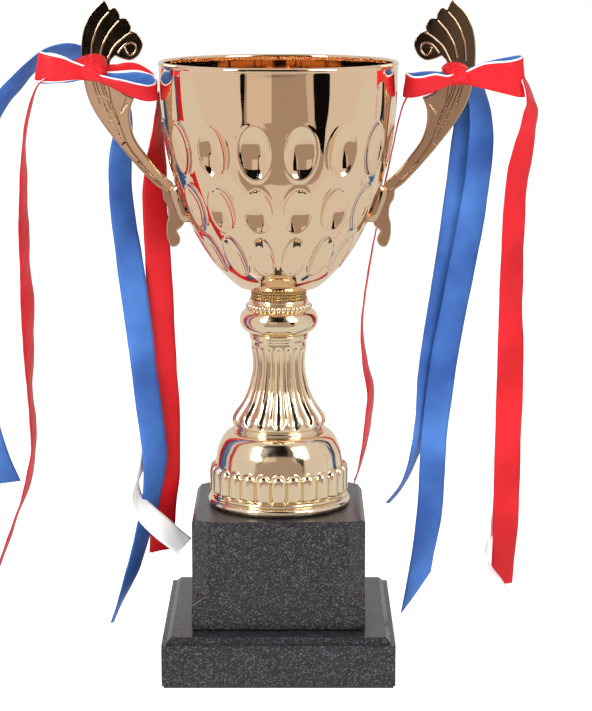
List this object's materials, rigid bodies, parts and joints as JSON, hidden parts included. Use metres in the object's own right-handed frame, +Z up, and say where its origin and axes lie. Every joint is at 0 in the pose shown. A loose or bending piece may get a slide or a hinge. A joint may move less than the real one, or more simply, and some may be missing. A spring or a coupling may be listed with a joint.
{
  "type": "cup trophy",
  "caption": "Cup trophy: dimpled gold bowl with two scroll handles tied with ribbon bows, fluted stem, domed foot and a stepped black plinth.",
  "frame": {"origin": "centre of the plinth's underside, on the surface that the trophy stands on", "axes": "+Z up along the cup's axis, -Y is the trophy's front, +X to the right seen from the front"},
  "size_m": [0.2494, 0.1028, 0.2894],
  "materials": {
    "gold": "polished, pale gold plating",
    "gold_deep": "polished, deeper gold",
    "steel": "zinc-plated",
    "weight": "dark primer",
    "black_plastic": "black with fine silver speckle",
    "board": "hardboard",
    "felt": "felt",
    "ribbon_red": "satin",
    "ribbon_white": "satin",
    "ribbon_blue": "satin"
  },
  "bodies": {
    "root": {"cup_bowl": "gold", "handle_left": "gold", "handle_right": "gold", "handle_screws": "steel", "handle_washers": "steel", "bowl_washer": "steel", "rod_cap_nut": "steel", "bowl_collar": "gold_deep", "stem_knob": "gold", "stem_column": "gold", "dome_foot": "gold", "tie_rod": "steel", "block_washer": "steel", "rod_nut": "steel", "plinth_block": "black_plastic", "plinth_base": "black_plastic", "base_screws": "steel", "base_weight": "weight", "weight_screws": "steel", "bottom_board": "board", "board_screws": "steel", "base_felt": "felt", "left_bow_knot": "ribbon_red", "left_ribbon_red": "ribbon_red", "left_ribbon_white": "ribbon_white", "left_ribbon_blue": "ribbon_blue", "right_bow_knot": "ribbon_red", "right_ribbon_red": "ribbon_red", "right_ribbon_white": "ribbon_white", "right_ribbon_blue": "ribbon_blue"}
  },
  "joints": []
}
